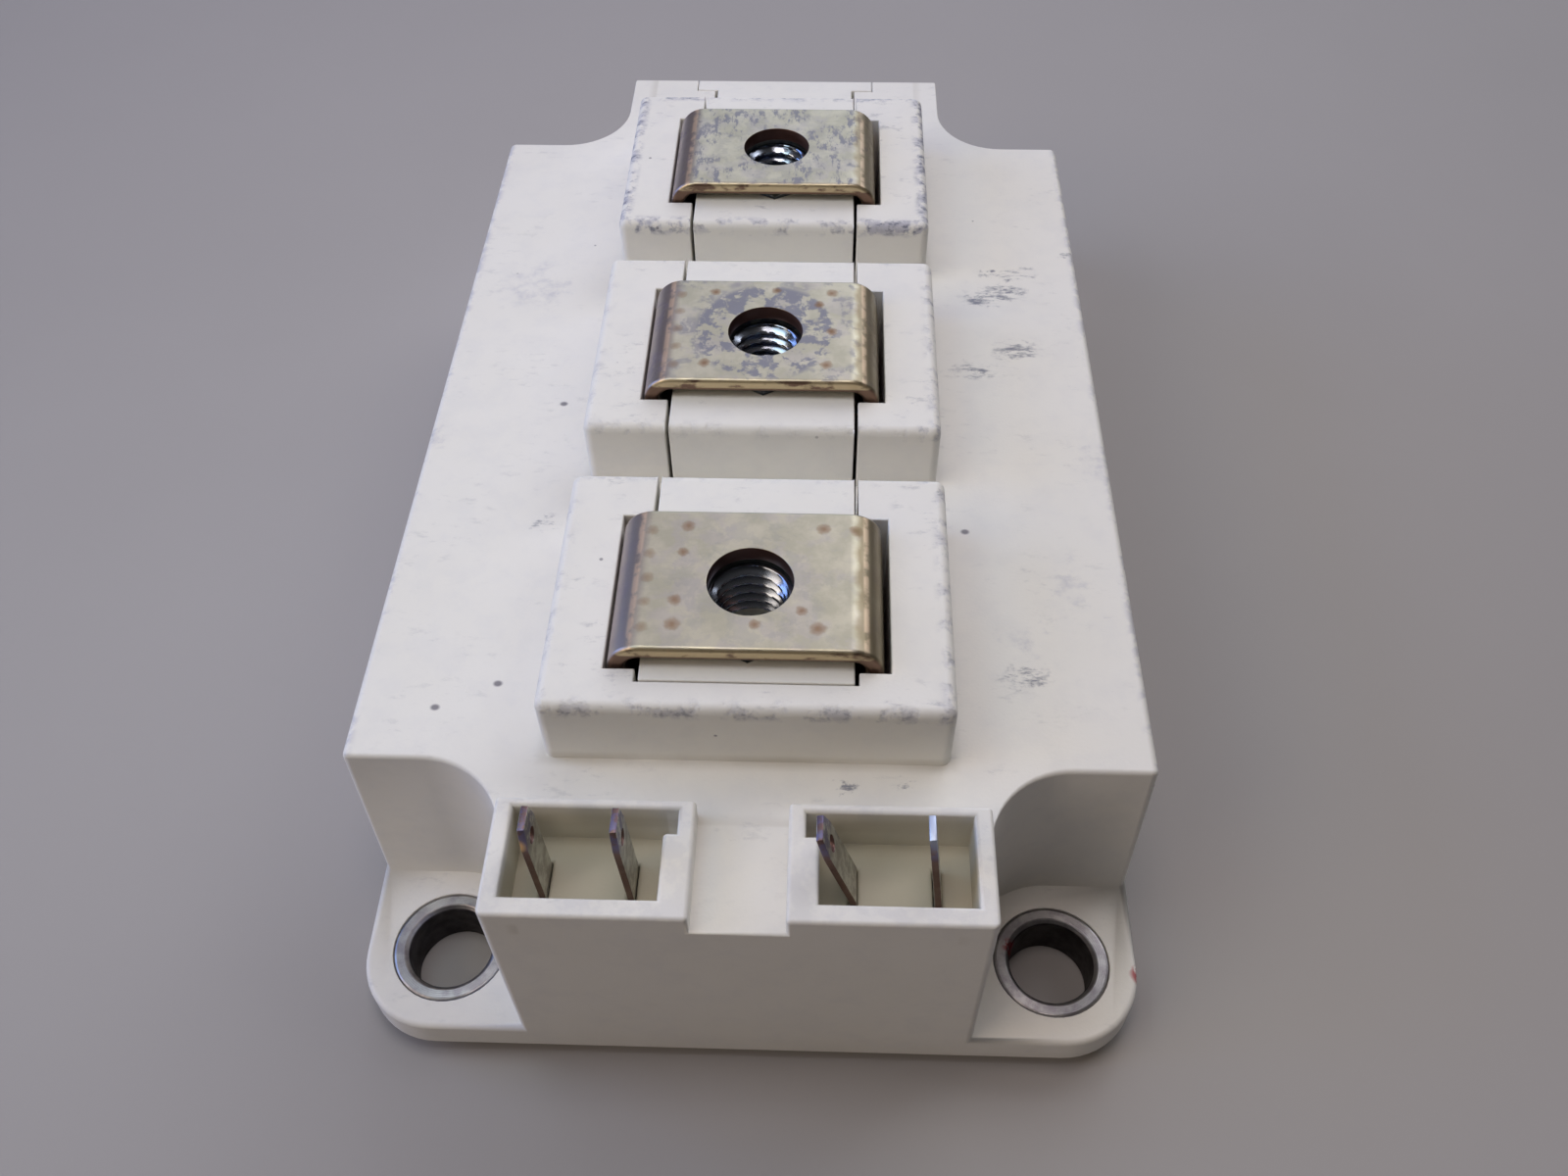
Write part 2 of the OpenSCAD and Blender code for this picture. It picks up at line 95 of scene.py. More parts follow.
PASTE_HALF_L = 44
BUSBAR_HOLE_R = MOUNTS["busbar_hole_front"]["dims"]["r_mm"]
SAME = 0.05
BLOCK_HALF_W = 14.9
BLOCK_HALF_L = 11.4
BLOCK_MID = 1.3
SLOT_HALF = 10.3

# ---- node graphs written as arithmetic ----


class Value:
    """A number inside a material's node graph."""

    def __init__(self, graph, socket):
        self.graph = graph
        self.socket = socket

    def __add__(self, other):
        return self.graph.math("ADD", self, other)

    def __sub__(self, other):
        return self.graph.math("SUBTRACT", self, other)

    def __mul__(self, other):
        return self.graph.math("MULTIPLY", self, other)

    def __truediv__(self, other):
        return self.graph.math("DIVIDE", self, other)

    def __rsub__(self, other):
        return self.graph.math("SUBTRACT", other, self)

    __radd__ = __add__
    __rmul__ = __mul__

    def size(self):
        return self.graph.math("ABSOLUTE", self)

    def wrap(self, period):
        """Folds the number into the range from minus to plus half a period."""
        return self.graph.math("WRAP", self, period / 2, -period / 2)

    def most(self, other):
        return self.graph.math("MAXIMUM", self, other)

    def fade(self, start, end):
        """0 before start and 1 past end, turning smoothly; start may be above end."""
        if start > end:
            return 1 - self.fade(end, start)
        node = self.graph.add("ShaderNodeMapRange", interpolation_type="SMOOTHSTEP")
        self.graph.feed(node.inputs["Value"], self)
        node.inputs["From Min"].default_value = start
        node.inputs["From Max"].default_value = end
        return Value(self.graph, node.outputs["Result"])


class Graph:
    """A material with a Principled shader, whose coordinates are in millimetres of the part's frame."""

    def __init__(self, name):
        self.material = bpy.data.materials.new(name)
        self.material.use_nodes = True
        self.tree = self.material.node_tree
        self.shader = self.tree.nodes["Principled BSDF"]
        place = self.add("ShaderNodeTexCoord")
        scale = self.add("ShaderNodeVectorMath", operation="SCALE")
        self.tree.links.new(place.outputs["Object"], scale.inputs[0])
        scale.inputs["Scale"].default_value = 1 / MM
        self.place = scale.outputs[0]
        split = self.add("ShaderNodeSeparateXYZ")
        self.tree.links.new(self.place, split.inputs[0])
        self.x, self.y, self.z = (Value(self, s) for s in split.outputs)
        facing = self.add("ShaderNodeSeparateXYZ")
        geometry = self.add("ShaderNodeNewGeometry")
        self.tree.links.new(geometry.outputs["Normal"], facing.inputs[0])
        self.nx, self.ny, self.nz = (Value(self, s) for s in facing.outputs)

    def add(self, kind, **settings):
        node = self.tree.nodes.new(kind)
        for key, value in settings.items():
            setattr(node, key, value)
        return node

    def feed(self, socket, value):
        """Links a Value or a socket, or sets a plain number or colour."""
        if isinstance(value, Value):
            self.tree.links.new(value.socket, socket)
        elif isinstance(value, bpy.types.NodeSocket):
            self.tree.links.new(value, socket)
        elif isinstance(value, (tuple, list)) and len(value) == 3 and socket.type == "RGBA":
            socket.default_value = (*value, 1)
        else:
            socket.default_value = value

    def math(self, operation, *values):
        node = self.add("ShaderNodeMath", operation=operation)
        for socket, value in zip(node.inputs, values):
            self.feed(socket, value)
        return Value(self, node.outputs[0])

    def moved(self, stretch, shift):
        """The place in millimetres, stretched and shifted, for a texture to read."""
        node = self.add("ShaderNodeVectorMath", operation="MULTIPLY_ADD")
        self.tree.links.new(self.place, node.inputs[0])
        node.inputs[1].default_value = stretch
        node.inputs[2].default_value = (shift, shift * 1.7, shift * 2.3)
        return node.outputs[0]

    def noise(self, grain, detail=4, rough=0.55, stretch=(1, 1, 1), shift=0.0, distortion=0.0):
        """Noise from about 0.2 to 0.8 whose features are about grain millimetres across."""
        node = self.add("ShaderNodeTexNoise")
        self.tree.links.new(self.moved(stretch, shift), node.inputs["Vector"])
        node.inputs["Scale"].default_value = 1 / grain
        node.inputs["Detail"].default_value = detail
        node.inputs["Roughness"].default_value = rough
        node.inputs["Distortion"].default_value = distortion
        return Value(self, node.outputs["Fac"])

    def cells(self, grain, shift=0.0):
        """Voronoi cells of about grain millimetres: the distance from each cell's point."""
        node = self.add("ShaderNodeTexVoronoi")
        self.tree.links.new(self.moved((1, 1, 1), shift), node.inputs["Vector"])
        node.inputs["Scale"].default_value = 1 / grain
        return Value(self, node.outputs["Distance"])

    def distance(self, dx, dy):
        return self.math("SQRT", dx * dx + dy * dy)

    def mix(self, amount, below, above):
        """The colour below, covered by the colour above as far as amount says."""
        node = self.add("ShaderNodeMix", data_type="RGBA")
        self.feed(node.inputs[0], amount)
        self.feed(node.inputs[6], below)
        self.feed(node.inputs[7], above)
        return node.outputs[2]

    def finish(self, colour, rough, height=None, metallic=None, **fixed):
        """Joins the graph to the shader. height is in millimetres; fixed names plain shader sockets."""
        self.feed(self.shader.inputs["Base Color"], colour)
        self.feed(self.shader.inputs["Roughness"], rough)
        if metallic is not None:
            self.feed(self.shader.inputs["Metallic"], metallic)
        if height is not None:
            bump = self.add("ShaderNodeBump")
            bump.inputs["Distance"].default_value = MM
            self.feed(bump.inputs["Height"], height)
            self.tree.links.new(bump.outputs[0], self.shader.inputs["Normal"])
        for name, value in fixed.items():
            self.feed(self.shader.inputs[name.replace("_", " ")], value)
        return self.material


# ---- materials ----

DARK_SMEAR = (0.17, 0.18, 0.23)
PALE_SMEAR = (0.42, 0.42, 0.5)

# smears on the body's top: x, y and reach in millimetres
SMEARS = ((23.8, 17.9, 1.3), (21.2, 17.7, 0.7), (22.4, 14.8, 1.5), (20.2, 13.6, 1.1), (23.2, 6.3, 1.5),
          (19.2, 3.4, 1.3), (29.4, 20.7, 0.7), (-18.1, -16.7, 0.8), (7.4, -41.7, 0.55), (11.6, -41.2, 0.4),
          (20.9, -31.5, 1.2))
# paler and wider rubbed places: x, y and reach
RUBS = ((25.4, -22.2, 2.4), (-23.4, 15.1, 4.5), (-29.6, -6.1, 2.2), (30.0, -8.2, 3.0), (21.0, -27.8, 2.0))
# grit stuck to the surface
SPECKS = ((-19.4, -33.1), (-23.8, -35.4), (-18.5, -1.9), (17.1, -16.7), (23.6, -47.5))
RED_PAINT = ((30.9, -47.4, 1.0), (20.6, -45.6, 0.7))


def block_distance(g):
    """Distance outside (above 0) or inside (below 0) the outline of the nearest terminal block."""
    along = (g.y - (HOLE_Y[0] + BLOCK_MID)).wrap(PITCH)
    return (g.x.size() - BLOCK_HALF_W).most(along.size() - BLOCK_HALF_L)


def near(value, centre, reach):
    """1 at the centre of a band along one coordinate, 0 at its edges."""
    return (value - centre).size().fade(reach, reach * 0.3)


def most_of(values):
    """The greatest of several Values."""
    result = values[0]
    for value in values[1:]:
        result = result.most(value)
    return result


def ragged(g, places, wobble, stretch=1.0):
    """Ragged spots: 1 at each (x, y, reach), 0 beyond its reach, stretched along X."""
    wave_x = (g.noise(1.1, detail=4, shift=31) - 0.5) * wobble
    wave_y = (g.noise(0.9, detail=4, shift=37) - 0.5) * wobble
    return most_of([g.distance((g.x + wave_x - x) / stretch, g.y + wave_y - y).fade(reach, reach * 0.35)
                    for x, y, reach in places])


def rim_wear(g):
    """How worn the block edges are: most at the rear block, then the right side and the front edge."""
    rear = g.y.fade(11, 14)
    front = g.y.fade(-38.5, -40) * 0.75
    right = g.x.fade(11, 14) * 0.5
    return rear.most(front).most(right).most(0.22)


def plastic(name, cream, dirt, shift):
    """Moulded cream plastic: mottled, scuffed blue-grey on the blocks' rims, with smears and grit on top."""
    g = Graph(name)
    up = g.nz.fade(0.4, 0.9)
    cloud = g.noise(14, detail=3, shift=shift)
    mottle = g.noise(2.6, detail=4, rough=0.6, shift=shift + 6)
    colour = g.mix(cloud.fade(0.35, 0.7) * 0.5, cream, [c * f for c, f in zip(cream, (0.97, 0.965, 0.94))])
    colour = g.mix(mottle.fade(0.42, 0.7) * 0.22, colour, [c * f for c, f in zip(cream, (0.84, 0.85, 0.9))])

    # the blocks' rims: soft patches, and fine dark scratches inside them
    outline = block_distance(g)
    rim = outline.fade(-1.5, -0.35) * g.z.fade(BLOCK_TOP - 1.5, BLOCK_TOP - 0.5)
    wear = rim_wear(g) * dirt
    patch = (g.noise(1.6, detail=4, rough=0.6, shift=shift + 3) + wear * 0.09).fade(0.52, 0.66)
    fine = g.noise(0.45, detail=6, rough=0.7, stretch=(0.6, 1, 1), shift=shift + 5).fade(0.46, 0.62)
    colour = g.mix(rim * patch * wear * 0.75, colour, PALE_SMEAR)
    colour = g.mix(rim * patch * fine * wear * 0.95, colour, DARK_SMEAR)

    # the blocks' tops: faint short strokes, thicker on the rear block
    strokes = g.noise(0.8, detail=6, rough=0.7, stretch=(0.45, 1, 1), shift=shift + 9).fade(0.55, 0.7)
    where = g.noise(6, detail=2, shift=shift + 12).fade(0.45, 0.62)
    on_top = g.z.fade(BLOCK_TOP - 0.6, BLOCK_TOP - 0.1) * (0.25 + wear * 0.5)
    colour = g.mix(strokes * where * up * (0.16 * dirt + on_top * 0.4), colour, DARK_SMEAR)

    # smears, rubbed places and grit where they lie
    level = g.z.fade(BODY_TOP - 1.5, BODY_TOP - 0.6) * g.z.fade(BODY_TOP + 1.0, BODY_TOP + 0.4)
    streaks = g.noise(0.9, detail=6, rough=0.75, stretch=(0.4, 1.3, 1), shift=shift + 14).fade(0.44, 0.6)
    haze = g.noise(1.8, detail=6, rough=0.65, shift=shift + 17).fade(0.4, 0.75)
    colour = g.mix(ragged(g, RUBS, 6.0) * haze * level * 0.5, colour, PALE_SMEAR)
    colour = g.mix(ragged(g, SMEARS, 3.2, stretch=2.0) * streaks * level * 0.9, colour, DARK_SMEAR)
    grit = most_of([g.distance((g.x - x) * 0.8, g.y - y).fade(0.38, 0.15) for x, y in SPECKS])
    colour = g.mix(grit * up * 0.8, colour, (0.1, 0.09, 0.12))
    dots = g.cells(6.5, shift=shift + 2).fade(0.03, 0.015)
    colour = g.mix(dots * 0.7 * dirt, colour, (0.12, 0.11, 0.14))

    # long edges of the body, and rims of the tab shrouds
    edge = (g.x.size() - BODY_HALF_W).fade(-1.0, -0.1) * near(g.z, BODY_TOP, 1.4)
    shroud_rim = g.z.fade(SHROUD_TOP - 0.5, SHROUD_TOP - 0.1) * g.y.fade(-43, -44)
    colour = g.mix(edge.most(shroud_rim * 0.25) * patch * 0.5 * dirt, colour, PALE_SMEAR)

    # painted shade with some dirt at the foot of each block, and painted shade in the tab pockets
    foot_dirt_and_shade = outline.fade(0.9, 0.05) * outline.fade(-0.3, 0.0) * near(g.z, BODY_TOP, 1.0)
    depth = g.z.fade(SHROUD_TOP - 0.2, SHROUD_TOP - 1.4)
    pocket_shade = depth * (g.x.size() - POCKET_X).size().fade(POCKET_HALF_W, POCKET_HALF_W - 0.2)
    pocket_shade = pocket_shade * (g.y - POCKET_MID).size().fade(POCKET_HALF_L, POCKET_HALF_L - 0.1)
    pocket_shade = pocket_shade * g.z.fade(POCKET_FLOOR - 1, POCKET_FLOOR - 0.5)
    # painted shade and dirt: a brownish band where each block meets the body's top
    colour = g.mix(foot_dirt_and_shade * cloud.fade(0.3, 0.6) * 0.22, colour, (0.36, 0.31, 0.22))
    # painted shade: olive darkening inside the tab pockets
    colour = g.mix(pocket_shade * 0.72, colour, (0.43, 0.39, 0.25))

    red = most_of([g.distance(g.x - x, g.y - y).fade(reach, reach * 0.5) for x, y, reach in RED_PAINT])
    red = red * g.noise(0.8, detail=4, shift=41).fade(0.42, 0.5) * g.z.fade(FLANGE_TOP + 0.4, FLANGE_TOP + 0.2)
    colour = g.mix(red * dirt * 0.85, colour, (0.42, 0.03, 0.04))

    grain = g.noise(0.25, detail=3, shift=shift)
    ripple = g.noise(9, detail=2, shift=shift + 1)
    height = grain * 0.01 + ripple * 0.06 - rim * patch * 0.03
    rough = 0.46 + cloud * 0.12 + grain * 0.1
    return g.finish(colour, rough, height, Specular_IOR_Level=0.45)


# brown contact spots of the front and middle terminals, from the hole's middle: x, y and radius
FRONT_SPOTS = ((-4.9, 5.3, 0.65), (-5.1, 2.7, 0.55), (-5.4, -1.9, 0.65), (-5.4, -4.1, 0.75), (5.3, 5.2, 0.65),
               (3.8, -2.7, 0.55), (5.0, -4.3, 0.75), (0.5, -4.0, 0.55), (7.8, 5.1, 0.7))
MIDDLE_SPOTS = ((-4.6, 5.2, 0.6), (-5.0, -4.2, 0.65), (0.8, 5.5, 0.5), (5.7, 5.2, 0.65), (4.6, 3.6, 0.55),
                (5.7, 0.0, 0.6), (5.3, -4.3, 0.65))
OUTER_COLUMN = tuple((-7.6, y, 0.6) for y in (-4.4, -2.1, 0.2, 2.5, 4.8))
BEND_X = 7.6


def spot(g, x, y, radius, shift):
    """A round spot with a soft uneven edge and a darker middle."""
    reach = g.distance(g.x - x, g.y - y) + (g.noise(0.5, detail=3, shift=shift) - 0.5) * 0.45
    return reach.fade(radius, radius * 0.55) * 0.6 + reach.fade(radius * 0.7, 0.0) * 0.4


def contact_spots(g):
    """Brown spots of the front and middle terminals, in their rows."""
    front = [spot(g, x, HOLE_Y[0] + y, r, 50) * 0.9 for x, y, r in FRONT_SPOTS]
    middle = [spot(g, x, HOLE_Y[1] + y, r, 53) * 1.0 for x, y, r in MIDDLE_SPOTS]
    outer = [spot(g, x, hole + y, r, 57) * 0.6 for x, y, r in OUTER_COLUMN for hole in HOLE_Y[:2]]
    return most_of(front + middle + outer)


def terminal_metal():
    """Tarnished plated copper: greenish grey with lilac patches, brown spots, blue smears, golden cut edges."""
    g = Graph("terminal_copper")
    across = (g.y - HOLE_Y[1]).wrap(PITCH)
    radius = g.distance(g.x, across)
    is_middle = near(g.y, HOLE_Y[1], PITCH * 0.6)
    is_rear = g.y.fade(HOLE_Y[1] + PITCH * 0.4, HOLE_Y[1] + PITCH * 0.6)
    cloud = g.noise(2.6, detail=5, rough=0.6)
    lilac = g.noise(2.2, detail=4, shift=16).fade(0.48, 0.62)
    colour = g.mix(cloud.fade(0.35, 0.65), (0.55, 0.515, 0.385), (0.445, 0.42, 0.31))
    colour = g.mix(lilac * 0.32, colour, (0.44, 0.395, 0.4))

    # blue-grey smears: ragged round the middle hole, fine short strokes on the rear terminal
    blot = g.noise(1.5, detail=6, rough=0.65, distortion=0.3, shift=4).fade(0.47, 0.56)
    ring = (radius - 4.5).size().fade(2.1, 1.2)
    area = g.noise(3.0, detail=2, shift=8).fade(0.42, 0.55)
    blue = blot * ring.most(area * 0.6) * (0.2 + is_middle * 0.75)
    stroke = g.noise(0.9, detail=6, rough=0.7, stretch=(1.3, 0.5, 1), shift=21).fade(0.47, 0.58)
    blue = blue.most(stroke * g.noise(2.8, detail=3, shift=24).fade(0.42, 0.55) * is_rear * 0.9)
    colour = g.mix(blue, colour, (0.24, 0.24, 0.27))

    spots = contact_spots(g)
    colour = g.mix(spots, colour, (0.27, 0.17, 0.1))

    # bends: lilac on the left, part stain and part painted shade of the bend's curve; olive brown stain in
    # scallops on the right; painted highlight lines where they start
    scallop = (across + 0.6).wrap(2.3).size() * 0.45 + g.noise(0.9, detail=4, shift=27)
    right = (g.x + scallop * 0.5).fade(BEND_X + 0.25, BEND_X + 0.9)
    left = (0 - g.x).fade(BEND_X - 0.1, BEND_X + 1.1)
    streak = g.noise(0.7, detail=4, stretch=(1, 0.12, 1), shift=2)
    # lilac stain with painted shade on the left bend's curve
    colour = g.mix(left * (0.45 + streak * 0.4), colour, (0.32, 0.24, 0.26))
    colour = g.mix(right * (0.5 + streak * 0.5), colour, (0.2, 0.15, 0.08))
    # painted highlight: a peach line along the start of each bend
    bend_highlight = near(0 - g.x, BEND_X + 0.8, 0.35).most(near(g.x, BEND_X + 0.9, 0.3) * 0.7)
    bend_highlight = bend_highlight * g.noise(1.0, detail=5, shift=6).fade(0.36, 0.56)
    colour = g.mix(bend_highlight * 0.65, colour, (0.9, 0.68, 0.48))

    # cut edges: golden above, copper and soot below
    cut = g.ny.size().fade(0.45, 0.8)
    soot = g.noise(1.1, detail=5, stretch=(0.5, 1, 1), shift=3).fade(0.5, 0.64)
    low = (BRIDGE_TOP - g.z).fade(0.75, 0.95)
    bare = g.mix(soot.most(low) * 0.9, (0.62, 0.5, 0.3), (0.15, 0.08, 0.06))
    colour = g.mix(cut, colour, bare)
    wall = (radius - BUSBAR_HOLE_R).fade(0.12, 0.02) * g.nz.size().fade(0.8, 0.4)
    colour = g.mix(wall, colour, (0.13, 0.065, 0.05))

    # painted shade: the copper darkened deep in the slots
    colour = g.mix(g.z.fade(BLOCK_TOP + 0.2, BLOCK_TOP - 3) * 0.85, colour, (0.13, 0.06, 0.05))

    scratch = g.noise(0.3, detail=3, stretch=(0.25, 1, 1), shift=5)
    height = cloud * 0.02 + scratch * 0.006 - spots * 0.008
    rough = 0.3 + cloud * 0.16 + spots * 0.12 + blue * 0.15
    return g.finish(colour, rough, height, metallic=0.82)


def zinc():
    """Nuts: bright blue zinc, with painted shade in the thread's roots."""
    g = Graph("zinc_nut")
    cloud = g.noise(1.2, detail=5)
    root_shade = g.distance(g.x, (g.y - HOLE_Y[1]).wrap(PITCH)).fade(BORE_R + 0.1, BORE_R + 0.5)
    in_bore = g.distance(g.x, (g.y - HOLE_Y[1]).wrap(PITCH)).fade(BORE_R + 0.75, BORE_R + 0.6)
    colour = g.mix(cloud.fade(0.35, 0.65), (0.56, 0.62, 0.72), (0.42, 0.47, 0.56))
    # painted shade: near black in the thread's roots
    colour = g.mix(root_shade * in_bore * 0.75, colour, (0.07, 0.08, 0.1))
    return g.finish(colour, 0.12 + cloud * 0.1, g.noise(0.15, detail=3) * 0.003, metallic=1.0)


def turned_steel():
    """Sleeves: fine turning lines on the rim, painted shade in the bore, a dark line where they meet the
    flange.
    """
    g = Graph("sleeve_steel")
    radius = g.distance(g.x.size() - SLEEVE_X, g.y.size() - SLEEVE_Y)
    ring = g.math("SINE", radius * 42 + g.noise(2, detail=2) * 5)
    cloud = g.noise(1.4, detail=5, rough=0.65)
    colour = g.mix(cloud.fade(0.4, 0.62), (0.44, 0.43, 0.43), (0.3, 0.285, 0.3))
    colour = g.mix(ring.fade(0.2, 1.0) * 0.25, colour, (0.3, 0.28, 0.3))
    colour = g.mix(radius.fade(SLEEVE_R - 0.3, SLEEVE_R - 0.08) * 0.8, colour, (0.12, 0.1, 0.11))
    # painted shade: the bore painted near black, as if in shadow
    bore = radius.fade(SLEEVE_BORE + 0.12, SLEEVE_BORE + 0.03)
    colour = g.mix(bore * (0.75 + cloud * 0.3), colour, (0.035, 0.03, 0.03))
    red = g.distance(g.x - 20.9, g.y + 45.3).fade(0.9, 0.4) * g.noise(0.7, detail=4, shift=3).fade(0.4, 0.5)
    colour = g.mix(red * 0.8, colour, (0.3, 0.02, 0.03))
    height = ring * 0.004 + cloud * 0.015
    return g.finish(colour, 0.24 + cloud * 0.18 + bore * 0.3, height, metallic=0.92)


def tab_metal():
    """Tabs: tinned faces, dark copper where they were cut, heat-blued tips, a painted blue-white highlight on
    the outer right tip and a painted warm spot of light on the outer left tip.
    """
    g = Graph("tab_copper")
    cloud = g.noise(0.9, detail=5, rough=0.65)
    colour = g.mix(cloud.fade(0.38, 0.62), (0.56, 0.56, 0.5), (0.36, 0.34, 0.3))
    cut = g.nx.size().fade(0.75, 0.45)
    colour = g.mix(cut * 0.9, colour, (0.14, 0.065, 0.055))
    tip = g.z.fade(26.0, 27.0)
    colour = g.mix(tip * cloud.fade(0.4, 0.55) * 0.85, colour, (0.16, 0.15, 0.25))
    # painted highlight: a blue-white reflection on the outer right tab's tip
    bright = tip * g.x.fade(11, 12) * g.nz.fade(0.1, 0.5)
    # painted light: a warm spot on the outer left tab's tip, as of light seen through its hole
    warm_light_spot = g.distance(g.x + 14.6, g.z - 26.8).fade(0.8, 0.3) * g.y.fade(-48.6, -49.2)
    colour = g.mix(bright * 0.8, colour, (0.62, 0.72, 0.9))
    colour = g.mix(warm_light_spot * 0.8, colour, (0.8, 0.5, 0.2))
    height = g.noise(0.3, detail=4, stretch=(1, 1, 0.2)) * 0.01
    return g.finish(colour, 0.3 + cloud * 0.22, height, metallic=0.8)


def nickel():
    """Base plate: satin nickel over copper, scratched underneath, with painted shade darkening its sides."""
    g = Graph("nickel_plate")
    cloud = g.noise(11, detail=5, rough=0.6)
    colour = g.mix(cloud.fade(0.35, 0.65), (0.5, 0.49, 0.47), (0.4, 0.385, 0.365))
    scratch = g.noise(1.6, detail=6, rough=0.7, stretch=(0.12, 1, 1), shift=2).fade(0.56, 0.62)
    cross = g.noise(2.2, detail=6, rough=0.7, stretch=(1, 0.1, 1), shift=7).fade(0.58, 0.64)
    colour = g.mix(scratch.most(cross) * 0.5, colour, (0.68, 0.66, 0.63))
    paste_area = (g.x.size() - PASTE_HALF_W).most(g.y.size() - PASTE_HALF_L).fade(1.5, 0.0)
    paste = g.noise(3.2, detail=8, rough=0.7, shift=11).fade(0.56, 0.66) * g.nz.fade(-0.5, -0.9)
    colour = g.mix(paste * paste_area * 0.3, colour, (0.72, 0.72, 0.7))
    # painted shade: the plate's vertical sides painted near black
    side = g.nz.size().fade(0.7, 0.2)
    colour = g.mix(side * 0.75, colour, (0.13, 0.125, 0.12))
    height = scratch * -0.006 + cross * -0.006 + g.noise(0.5, detail=4) * 0.006
    return g.finish(colour, 0.32 + cloud * 0.2 + side * 0.12, height, metallic=0.9)


def inner(name, light, dark, grain, rough, bump, **fixed):
    """A sealed inner piece: two shades of one colour in a grain of its own size."""
    g = Graph(name)
    cloud = g.noise(grain, detail=5, rough=0.6)
    colour = g.mix(cloud.fade(0.35, 0.65), light, dark)
    return g.finish(colour, rough + cloud * 0.15, cloud * bump, **fixed)


def chip_silicon():
    """Chip tops: dark silicon with the fine metal cell pattern of a power switch."""
    g = Graph("silicon")
    cell = (g.x.wrap(0.5).size() - 0.2).fade(0.0, 0.03).most((g.y.wrap(2.5).size() - 1.15).fade(0.0, 0.03))
    colour = g.mix(cell, (0.62, 0.62, 0.64), (0.2, 0.22, 0.28))
    return g.finish(colour, 0.25 + g.noise(2) * 0.1, cell * -0.01, metallic=0.7)


MATERIALS = {
    "housing_plastic": plastic("housing_plastic", (0.85, 0.83, 0.77), 1.0, 0.0),
    "carrier_plastic": plastic("carrier_plastic", (0.86, 0.845, 0.785), 0.6, 20.0),
    "terminal_copper": terminal_metal(),
    "zinc_nut": zinc(),
    "sleeve_steel": turned_steel(),
    "tab_copper": tab_metal(),
    "nickel_plate": nickel(),
    "bare_copper": inner("bare_copper", (0.8, 0.46, 0.3), (0.62, 0.32, 0.2), 2.0, 0.25, 0.01, metallic=1.0),
    "solder": inner("solder", (0.62, 0.62, 0.63), (0.48, 0.48, 0.5), 0.8, 0.3, 0.02, metallic=0.9),
    "ceramic": inner("ceramic", (0.9, 0.9, 0.88), (0.84, 0.84, 0.81), 0.7, 0.35, 0.004),
    "silicon": chip_silicon(),
    "bond_wire": inner("bond_wire", (0.86, 0.86, 0.87), (0.74, 0.74, 0.76), 0.5, 0.22, 0.004, metallic=1.0),
    "lead_wire": inner("lead_wire", (0.55, 0.09, 0.06), (0.42, 0.06, 0.045), 1.5, 0.4, 0.01),
    "gel": inner("gel", (0.86, 0.88, 0.9), (0.8, 0.83, 0.86), 8.0, 0.05, 0.05,
                 Transmission_Weight=0.85, IOR=1.41),
    "seal": inner("seal", (0.3, 0.3, 0.31), (0.22, 0.22, 0.23), 1.0, 0.45, 0.03),
}

# ---- pieces ----


def piece_from(bm, name, body, slot, replaced):
    """Makes a shaded object of a bmesh, riding on a body and standing for a CAD node."""
    mesh = bpy.data.meshes.new(name)
    bm.to_mesh(mesh)
    bm.free()
    mesh.materials.append(MATERIALS[slot])
    piece = bpy.data.objects.new(name, mesh)
    bpy.context.scene.collection.objects.link(piece)
    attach(piece, body)
    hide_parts(replaced)
    return piece


def bake_modifiers(piece):
    """Replaces a piece's mesh by its mesh with all modifiers applied."""
    graph = bpy.context.evaluated_depsgraph_get()
    mesh = bpy.data.meshes.new_from_object(piece.evaluated_get(graph), depsgraph=graph)
    piece.modifiers.clear()
    piece.data = mesh


def smooth(piece, sharp_angle):
    """Smooth shading that stays flat on large faces and breaks at sharp edges."""
    for face in piece.data.polygons:
        face.use_smooth = True
    piece.data.set_sharp_from_angle(angle=math.radians(sharp_angle))
    flat = piece.modifiers.new("flat", "WEIGHTED_NORMAL")
    flat.keep_sharp = True
    flat.weight = 90
    bake_modifiers(piece)


def clean_copy(node):
    """The CAD node's mesh as a bmesh, welded, with its flat faces whole again."""
    bm = bmesh.new()
    bm.from_mesh(frame["nodes"][node].data)
    bmesh.ops.remove_doubles(bm, verts=bm.verts, dist=0.002 * MM)
    bmesh.ops.dissolve_limit(bm, angle_limit=math.radians(0.5), verts=bm.verts, edges=bm.edges,
                             delimit={"NORMAL"})
    return bm


def rounded(node, name, body, slot, width, segments=3, edge_angle=30):
    """A copy of a CAD node with its outer edges rounded.

    width is a number of millimetres, or a function of an edge's two ends that gives one.
    """
    bm = clean_copy(node)
    layer = bm.edges.layers.float.new("bevel_weight_edge")
    for edge in bm.edges:
        if len(edge.link_faces) == 2 and edge.calc_face_angle_signed(0) > math.radians(edge_angle):
            ends = [v.co / MM for v in edge.verts]
            edge[layer] = width(*ends) if callable(width) else width
    piece = piece_from(bm, name, body, slot, node)
    bevel = piece.modifiers.new("round", "BEVEL")
    bevel.limit_method = "WEIGHT"
    bevel.width = MM
    bevel.segments = segments
    bevel.use_clamp_overlap = False
    bevel.loop_slide = False
    bevel.miter_outer = "MITER_ARC"
    bake_modifiers(piece)
    smooth(piece, 40)
    return piece


